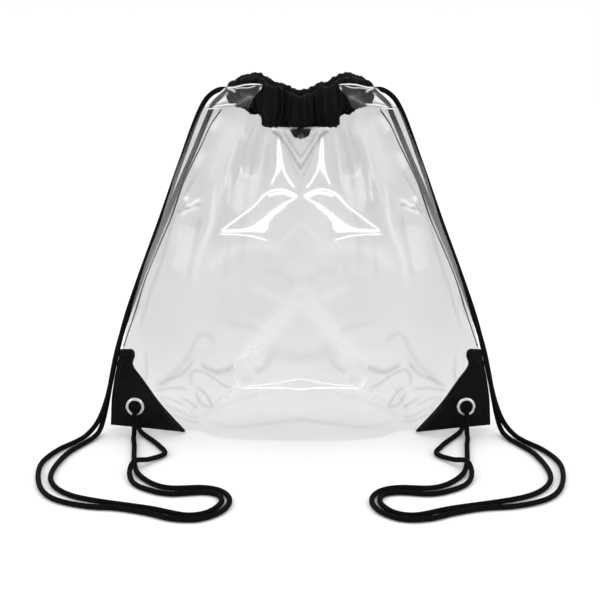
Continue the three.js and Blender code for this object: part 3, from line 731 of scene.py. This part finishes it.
# %% [markdown]
# Each bottom corner is wrapped in a patch of the same cloth, cut with a slanted inner edge and a small tab
# at the top that is folded down over itself. It is made as one closed sheet that follows the sack's faces
# and goes round the side seam, with its edges turned in.
# %% Corner patch outline
# the slanted inner edge and the edge at the side seam, as x, z in mm from the foot to the tab
PATCH_INNER = [(105.5, 1.6), (113, 9), (121, 18), (129, 28.5), (137, 40.5), (144.5, 52), (151.5, 62),
               (152.6, 66), (150.6, 72), (151.6, 77.4), (154.5, 78.8)]
PATCH_SEAM = [(172.6, 8.6), (172.2, 16), (171.8, 24), (171.2, 33), (169.6, 44), (167.6, 55), (166, 62),
              (165.3, 66), (164, 71), (163, 76.4), (162.4, 78.8)]
PATCH_ROWS, PATCH_COLUMNS = 72, 44
PATCH_FOOT = 1.2  # the lowest height at which the sheet under a patch is asked for


def patch_rumple(x, z, share):
    """How far in mm a patch stands off the sheet: its folded tab, the tab's crumples and slight waves."""
    tab = 1.3 * ease(z, 64, 67) * (1 - 0.7 * ease(share, 0.5, 0.9))
    tab += 0.8 * ease(z, 60, 65) * np.sin(x / 1.9 + z / 1.3) * np.sin(z / 2.7 - x / 4)
    waves = 0.18 * np.sin(x / 3.1 + z / 5.3) * np.sin(z / 4.1 - x / 6.7)
    return tab + waves + 0.15 * np.sin((x + z) / 8.5)


def patch_side(side, wall):
    """One face of a patch in mm, in rows from foot to tab, each from the slanted edge to the seam."""
    inner, _ = smooth_line([(x, 0, z) for x, z in PATCH_INNER], PATCH_ROWS)
    seam, _ = smooth_line([(x, 0, z) for x, z in PATCH_SEAM], PATCH_ROWS)
    share = np.linspace(0, 1, PATCH_COLUMNS + 1)[None, :, None] ** 0.8
    grid = inner[:, None] * (1 - share) + seam[:, None] * share
    x, z = grid[..., 0], grid[..., 2]
    away = wall_y(side, x, np.maximum(z, PATCH_FOOT)) + SHEET + LAY_GAP + wall
    turned_edge = 0.5 * np.exp(-((share[..., 0] - 0.03) / 0.035) ** 2) if wall > 0 else 0
    grid[..., 1] = side * (away + patch_rumple(x, z, share[..., 0]) + turned_edge)
    return grid


# %% Corner patches
def make_patch(word):
    """A closed sheet over the front, round the seam in a half circle, and over the back."""
    faces_at = []
    for wall in (CLOTH, 0.0):
        front, back = patch_side(-1, wall), patch_side(1, wall)[:, ::-1]
        turn = np.linspace(0, math.pi, 7)[1:-1]
        reach = np.abs(front[:, -1:, 1])
        edge = np.repeat(front[:, -1:], len(turn), 1)
        edge[..., 0] += (0.2 + wall) * np.sin(turn)[None]
        edge[..., 1] = -reach * np.cos(turn)[None]
        faces_at.append(np.concatenate([front, edge, back], 1) * MM)
    if SIDES[word] < 0:
        faces_at = [face[:, ::-1] * [-1, 1, 1] for face in faces_at]
    points, faces = shell(*faces_at)
    piece = make_piece(f"corner_patch_{word}_cloth", points, faces, [f"corner_patch_{word}"])
    return piece


patches = {word: make_patch(word) for word in SIDES}
for word, piece in patches.items():
    print(piece.name, len(piece.data.polygons), "faces")

# %% [markdown]
# The eyelets are nickel-plated brass: a domed flange in front whose barrel goes through all the layers and
# is rolled over a flat washer behind. Both are turned from a profile, in 72 steps, so that their rims catch
# narrow highlights.
# %% Eyelet profiles
EYELET_X, EYELET_Z = SACK_WIDTH / 2 - 21, 26.0
BORE, WALL, FLANGE, DOME = 5.5, 0.8, 8.8, 1.6
LAYERS = SEAM_GAP / 2 + SHEET + 2 * LAY_GAP + CLOTH  # from the seam plane out through the patch
# the closed outlines that are turned round the eyelet's axis, as radius and y in mm
FLANGE_PROFILE = [
    (BORE, -LAYERS - 0.5 * DOME), (BORE + 0.12, -LAYERS - 0.72 * DOME), (BORE + 0.5, -LAYERS - 0.92 * DOME),
    (BORE + 1.1, -LAYERS - DOME), (BORE + 1.8, -LAYERS - 0.96 * DOME), (BORE + 2.5, -LAYERS - 0.78 * DOME),
    (FLANGE - 0.35, -LAYERS - 0.48 * DOME), (FLANGE, -LAYERS - 0.2 * DOME), (FLANGE, -LAYERS),
    (FLANGE - 0.4, -LAYERS), (BORE + WALL, -LAYERS), (BORE + WALL, LAYERS + 1), (7.3, LAYERS + 1),
    (7.6, LAYERS + 1.2), (7.5, LAYERS + 1.5), (7.0, LAYERS + 1.75), (BORE + WALL, LAYERS + 1.8),
    (BORE + 0.3, LAYERS + 1.7), (BORE, LAYERS + 1.4),
]
WASHER_PROFILE = [
    (BORE + WALL + 0.3, LAYERS), (FLANGE, LAYERS), (FLANGE, LAYERS + 0.5), (FLANGE - 0.2, LAYERS + 0.7),
    (BORE + WALL + 0.5, LAYERS + 0.7), (BORE + WALL + 0.3, LAYERS + 0.5),
]


# %% Eyelets
def turned(profile, hand, steps=72):
    count = len(profile)
    points = []
    for angle in np.linspace(0, 2 * math.pi, steps, endpoint=False):
        for radius, y in profile:
            x = hand * EYELET_X + radius * math.cos(angle)
            points.append((x, y, EYELET_Z + radius * math.sin(angle)))
    faces = []
    for i in range(steps):
        for j in range(count):
            a, b = i * count + j, i * count + (j + 1) % count
            c, d = ((i + 1) % steps) * count + (j + 1) % count, ((i + 1) % steps) * count + j
            faces.append((a, b, c, d))
    return np.array(points) * MM, faces


def make_eyelet(word):
    made = []
    for name, profile in (("eyelet", FLANGE_PROFILE), ("eyelet_washer", WASHER_PROFILE)):
        points, faces = turned(profile, SIDES[word])
        made.append(make_piece(f"{name}_{word}_plated", points, faces, [f"{name}_{word}"]))
    return made


eyelets = [piece for word in SIDES for piece in make_eyelet(word)]
print("eyelets:", [piece.name for piece in eyelets])

# %% [markdown]
# Black thread holds everything together. The photograph shows it as a dashed line inside each side edge, at
# the end of the seam allowance, which widens towards the neck. It runs along the patches' edges too. Each
# stitch is a short thread that dips at both ends, and all stitches of a seam are one mesh.
# %% Stitches
THREAD, THREAD_SIDES = 0.9, 6
STITCH, STITCH_GAP = 3.2, 0.6
DIP = 0.42 * np.array([1, 0.25, 0, 0, 0.25, 1])  # how deep each point of a stitch goes into the cloth
SEAM_LINE = [(-70, 296), (-78.5, 284), (-86.5, 267), (-95, 250), (-105.5, 227.5), (-115, 200.5),
             (-127, 173.5), (-139, 145), (-148.5, 116), (-157.5, 90), (-160.5, 81)]


def stitch_row(points, sink):
    """Points and faces of the stitches along a line, in mm. Sink is the direction into the cloth."""
    line, length = smooth_line(points, 400)
    along = np.linspace(0, length, len(line))
    verts, faces = [], []
    for k in range(int(length / (STITCH + STITCH_GAP))):
        at = k * (STITCH + STITCH_GAP) + np.linspace(0, STITCH, len(DIP))
        middle = np.stack([np.interp(at, along, line[:, c]) for c in range(3)], 1)
        start = len(verts) * len(DIP) * THREAD_SIDES
        ring, ring_faces = tube(middle + DIP[:, None] * np.array(sink), THREAD / 2, THREAD_SIDES, start)
        verts.append(ring)
        faces += ring_faces
    return np.concatenate(verts), faces


def make_stitches(name, lines):
    """One mesh of several rows, each a line of points in mm and the direction into the cloth."""
    verts, faces = [], []
    for line, sink in lines:
        ring, row_faces = stitch_row(line, sink)
        start = sum(len(v) for v in verts)
        verts.append(ring)
        faces += [[start + i for i in face] for face in row_faces]
    return make_piece(name, np.concatenate(verts) * MM, faces)


# %% Rows of stitches
# the borders of a patch that have a row of stitches, and how far in mm the row lies from them
PATCH_STITCHES = [(PATCH_INNER[:7], 3.2), (PATCH_SEAM, -2.6)]


def seam_line(side, hand):
    line, _ = smooth_line([(x, 0, z) for x, z in SEAM_LINE], 90)
    y = side * (wall_y(side, line[:, 0], line[:, 2]) + SHEET + THREAD / 2)
    return np.stack([-hand * line[:, 0], y, line[:, 2]], 1)


def patch_line(side, hand, border, inset):
    line, _ = smooth_line([(x, 0, z) for x, z in border], 60)
    x, z = line[:, 0] + inset, line[:, 2]
    y = side * (wall_y(side, x, np.maximum(z, PATCH_FOOT)) + SHEET + LAY_GAP + CLOTH + THREAD / 2 + 0.2)
    return np.stack([hand * x, y, z], 1)


stitches = []
for word, hand in SIDES.items():
    rows = [(seam_line(side, hand), (0, -side, 0)) for side in (-1, 1)]
    stitches.append(make_stitches(f"side_seam_{word}_stitches", rows))
    rows = []
    for border, inset in PATCH_STITCHES:
        rows += [(patch_line(side, hand, border, inset), (0, -side, 0)) for side in (-1, 1)]
    stitches.append(make_stitches(f"corner_patch_{word}_stitches", rows))
for piece in stitches:
    print(piece.name, len(piece.data.polygons), "faces")

# %% [markdown]
# Materials come from nodes alone, at real scale. The first helpers start a material with a Principled shader
# and put in a node with its values and links.
# %% Material helpers
def new_material(name, **values):
    material = bpy.data.materials.new(name)
    material.use_nodes = True
    shader = material.node_tree.nodes["Principled BSDF"]
    for socket, value in values.items():
        shader.inputs[socket.replace("_", " ")].default_value = value
    return material, shader


def add_node(material, kind, links=(), **values):
    node = material.node_tree.nodes.new(kind)
    for key, value in values.items():
        if key in node.bl_rna.properties:
            setattr(node, key, value)
        else:
            node.inputs[key.replace("_", " ")].default_value = value
    for socket, source in dict(links).items():
        material.node_tree.links.new(source, node.inputs[socket])
    return node


def link(material, source, target):
    material.node_tree.links.new(source, target)


def math_node(material, operation, first, second=0.0):
    node = add_node(material, "ShaderNodeMath", operation=operation)
    for socket, value in zip(node.inputs, (first, second)):
        if isinstance(value, (int, float)):
            socket.default_value = value
        else:
            link(material, value, socket)
    return node.outputs[0]


def map_range(material, value, to_low, to_high, low=0.0, high=1.0):
    limits = {"From_Min": low, "From_Max": high, "To_Min": to_low, "To_Max": to_high}
    return add_node(material, "ShaderNodeMapRange", {"Value": value}, **limits).outputs["Result"]


def give(material, pieces):
    for piece in pieces:
        piece.data.materials.clear()
        piece.data.materials.append(material)


# %% [markdown]
# Most finishes below share the same few parts: noise at a real size for uneven wear, a colour that goes from
# one tone to another with it, and bumps on each other for relief.
# %% Wear, tint and relief
def real_place(material):
    """The place on the piece in metres, so that every pattern has its real size."""
    return add_node(material, "ShaderNodeTexCoord").outputs["Object"]


def noise(material, place, scale, detail):
    node = add_node(material, "ShaderNodeTexNoise", {"Vector": place}, Scale=scale, Detail=detail)
    return node.outputs["Fac"]


def tint(material, shader, share, low, high, ends=(0.0, 1.0)):
    """Colours the shader from low to high while the share rises between the ends."""
    ramp = add_node(material, "ShaderNodeValToRGB", {"Fac": share})
    for element, color, position in zip(ramp.color_ramp.elements, (low, high), ends):
        element.position = position
        element.color = (*color, 1)
    link(material, ramp.outputs["Color"], shader.inputs["Base Color"])


def relief(material, shader, *bumps):
    """Bumps on each other, each with its height's source, its strength and its height in metres."""
    under = {}
    for height, strength, distance in bumps:
        bump = add_node(material, "ShaderNodeBump", {"Height": height, **under}, Strength=strength,
                        Distance=distance)
        under = {"Normal": bump.outputs["Normal"]}
    link(material, under["Normal"], shader.inputs["Normal"])


# %% [markdown]
# Clear vinyl lets most light through and keeps a faint grey haze. It shines like glass, and more at a
# slant, so the Layer Weight node makes it denser there. Where a sheet was creased hard a point attribute
# turns it white, partly the stress whitening of the crease and partly painted highlights. Its shade
# attribute is painted shade that darkens the hollows, where the sheet bends the light away. The haze thins
# out towards the foot, painted light that keeps the shade under the bag from darkening it. Glass with real
# refraction would need many bounces through four walls, so the vinyl is a thin see-through layer instead.
# Fine bump stands for the slight orange peel of rolled sheet, and the long soft noise for the uneven
# stretch round the folds.
# %% Clear vinyl
# Below this height the haze thins, painted light that keeps the shade under the bag from darkening the foot.
PAINTED_LIGHT_BELOW = 0.1  # the height in m above which the haze is full


def vinyl_density(material, place, crease):
    """How little the vinyl lets through, from 0 to 1."""
    clear = map_range(material, noise(material, place, 14, 4), 0.115, 0.145, 0.3, 0.7)
    facing = add_node(material, "ShaderNodeLayerWeight", Blend=0.5).outputs["Facing"]
    slant = math_node(material, "POWER", facing, 3.0)
    height = add_node(material, "ShaderNodeSeparateXYZ", {"Vector": place}).outputs["Z"]
    rise = map_range(material, height, 0.0, 1.0, 0.0, PAINTED_LIGHT_BELOW)
    shade = add_node(material, "ShaderNodeAttribute", attribute_name="shade").outputs["Fac"]
    dense = math_node(material, "ADD", clear, math_node(material, "MULTIPLY", slant, 0.3))
    # Painted light: the haze thins towards the foot against the shade that falls under the bag.
    dense = math_node(material, "MULTIPLY", dense, math_node(material, "POWER", rise, 0.6))
    # Painted shade from the shade attribute, then white creases: stress whitening with painted highlights.
    dense = math_node(material, "ADD", dense, math_node(material, "MULTIPLY", shade, 0.3))
    dense = math_node(material, "MAXIMUM", dense, math_node(material, "MULTIPLY", crease, 0.92))
    return math_node(material, "MINIMUM", dense, 1.0)


def clear_vinyl():
    material, shader = new_material("clear_vinyl", IOR=1.9, Specular_IOR_Level=0.6)
    place = real_place(material)
    crease = add_node(material, "ShaderNodeAttribute", attribute_name="crease").outputs["Fac"]
    link(material, vinyl_density(material, place, crease), shader.inputs["Alpha"])
    # The haze's grey turns white along the creases: stress whitening with painted highlights.
    tint(material, shader, crease, (0.06, 0.061, 0.062), (1, 1, 1), ends=(0.0, 0.5))
    smear = noise(material, place, 32, 5)
    link(material, map_range(material, smear, 0.06, 0.17, 0.3, 0.7), shader.inputs["Roughness"])
    peel = noise(material, place, 260, 2)
    drawn_out = add_node(material, "ShaderNodeMapping", {"Vector": place}, Scale=(48, 48, 7))
    pull = noise(material, drawn_out.outputs["Vector"], 1, 1.5)
    relief(material, shader, (peel, 0.25, 0.00006), (pull, 1.0, 0.0005))
    return material


give(clear_vinyl(), sheets + shoulder_folds)
print("vinyl on", [piece.name for piece in sheets + shoulder_folds])

# %% [markdown]
# The casing and the patches are tightly woven black polyester, about 20 threads to the centimetre, with a
# faint shine along the raised threads. Two wave patterns at right angles make the weave's relief and, more
# weakly, its gloss, and noise fades the colour a little as handling does.
# %% Black cloth
def black_cloth():
    material, shader = new_material("black_cloth", Sheen_Weight=0.006, Sheen_Roughness=0.4,
                                    Specular_IOR_Level=0.08)
    place = real_place(material)
    threads = []
    for direction in ("X", "Z"):
        wave = add_node(material, "ShaderNodeTexWave", {"Vector": place}, wave_type="BANDS",
                        bands_direction=direction, Scale=330, Distortion=1.2, Detail=2)
        threads.append(wave.outputs["Fac"])
    weave = math_node(material, "MULTIPLY", threads[0], threads[1])
    wear = noise(material, place, 38, 6)
    tint(material, shader, wear, (0.0016, 0.0016, 0.0018), (0.0045, 0.0045, 0.005), ends=(0.3, 0.75))
    link(material, map_range(material, weave, 0.7, 0.5), shader.inputs["Roughness"])
    relief(material, shader, (weave, 0.5, 0.00012), (noise(material, place, 120, 4), 0.5, 0.0008))
    return material


give(black_cloth(), casings + list(patches.values()))
print("cloth on", len(casings) + len(patches), "pieces")

# %% [markdown]
# The cords' braid is a fine herringbone of yarns that cross at a slant. The tube's UV map runs along the
# cord in diameters and round it, so two sets of slanted waves give the crossing yarns. The stitches are the
# same black polyester as a thin twisted thread.
# %% Braided cord and thread
YARNS_ALONG, YARNS_AROUND = 9.0, 12.0


def braided_cord():
    material, shader = new_material("braided_cord", Specular_IOR_Level=0.05)
    on_cord = add_node(material, "ShaderNodeTexCoord").outputs["UV"]
    split = add_node(material, "ShaderNodeSeparateXYZ", {"Vector": on_cord})
    along = math_node(material, "MULTIPLY", split.outputs["X"], YARNS_ALONG)
    around = math_node(material, "MULTIPLY", split.outputs["Y"], YARNS_AROUND)
    one_way = math_node(material, "SINE", math_node(material, "ADD", along, around))
    other_way = math_node(material, "SINE", math_node(material, "SUBTRACT", along, around))
    lift = map_range(material, math_node(material, "MAXIMUM", one_way, other_way), 0.0, 1.0, -0.6, 1.0)
    fuzz = noise(material, real_place(material), 900, 3)
    tint(material, shader, lift, (0.002, 0.002, 0.002), (0.004, 0.004, 0.0045))
    link(material, map_range(material, fuzz, 0.72, 0.9), shader.inputs["Roughness"])
    relief(material, shader, (lift, 0.7, 0.0004), (fuzz, 0.35, 0.0002))
    return material


def black_thread():
    material, shader = new_material("black_thread", Roughness=0.55, Specular_IOR_Level=0.15)
    twist = add_node(material, "ShaderNodeTexWave", {"Vector": real_place(material)}, wave_type="BANDS",
                     bands_direction="DIAGONAL", Scale=900).outputs["Fac"]
    tint(material, shader, twist, (0.006, 0.006, 0.006), (0.008, 0.008, 0.009))
    relief(material, shader, (twist, 0.4, 0.0001))
    return material


give(braided_cord(), cords)
give(black_thread(), stitches)
print("braid on", len(cords), "strands, thread on", len(stitches), "seams")

# %% [markdown]
# Nickel plate is a warm grey mirror. Pressing and handling leave hairlines in it, so a fine noise varies its
# tone and its roughness and gives a little relief.
# %% Nickel plate
def nickel_plate():
    material, shader = new_material("nickel_plate", Metallic=1.0)
    worn = noise(material, real_place(material), 420, 6)
    tint(material, shader, worn, (0.5, 0.49, 0.475), (0.7, 0.695, 0.68))
    link(material, map_range(material, worn, 0.12, 0.34, 0.3, 0.7), shader.inputs["Roughness"])
    relief(material, shader, (worn, 0.25, 0.00006))
    return material


give(nickel_plate(), eyelets)
print("nickel on", len(eyelets), "pieces")

# %% [markdown]
# The photograph has a plain white ground and large soft lights. Here a wide pale floor takes the ground's
# place, under a plain white world. Two tall softboxes stand in front at either side, so the vinyl's folds
# have something bright to mirror, and a broad one hangs overhead.
# %% Floor
FLOOR_HALF, FLOOR_STEPS, FLOOR_DROP = 14.0, 24, 0.3 * MM


def make_floor():
    mesh = bpy.data.meshes.new("floor")
    across = np.linspace(-FLOOR_HALF, FLOOR_HALF, FLOOR_STEPS + 1)
    points = [(x, y, -FLOOR_DROP) for y in across for x in across]
    mesh.from_pydata(points, [], grid_faces(FLOOR_STEPS + 1, FLOOR_STEPS + 1))
    floor = bpy.data.objects.new("floor", mesh)
    bpy.context.scene.collection.objects.link(floor)
    material, shader = new_material("pale_floor", Roughness=0.9, Specular_IOR_Level=0.1)
    tone = noise(material, real_place(material), 2, 3)
    tint(material, shader, tone, (0.965, 0.965, 0.965), (0.98, 0.98, 0.98))
    give(material, [floor])
    return floor


print("floor", 2 * FLOOR_HALF, "m wide:", make_floor().name)

# %% Lights
MIDDLE_OF_SACK = (0, 0, 0.16)
WORLD_STRENGTH = 1.03
# name, place and size in m, and power in W
LIGHTS = [
    ("softbox_left", (-1.5, -1.5, 1.35), (0.4, 1.3), 7),
    ("softbox_right", (1.5, -1.5, 1.35), (0.4, 1.3), 7),
    ("overhead", (0, 0.3, 2.6), (2.4, 0.8), 6),
]


def make_softbox(name, place, aim, size, power):
    data = bpy.data.lights.new(name, "AREA")
    data.shape = "RECTANGLE"
    data.size, data.size_y = size
    data.energy = power
    light = bpy.data.objects.new(name, data)
    bpy.context.scene.collection.objects.link(light)
    light.location = place
    away = np.array(place) - np.array(aim)
    flat = math.hypot(away[0], away[1])
    light.rotation_euler = (math.atan2(flat, away[2]), 0, math.atan2(away[1], away[0]) + math.pi / 2)
    return light


def make_world():
    world = bpy.data.worlds.new("studio")
    world.use_nodes = True
    background = world.node_tree.nodes["Background"]
    background.inputs["Color"].default_value = (1, 1, 1, 1)
    background.inputs["Strength"].default_value = WORLD_STRENGTH
    bpy.context.scene.world = world


for name, place, size, power in LIGHTS:
    print(make_softbox(name, place, MIDDLE_OF_SACK, size, power).name, power, "W")
make_world()
bpy.context.scene.view_settings.view_transform = "Standard"
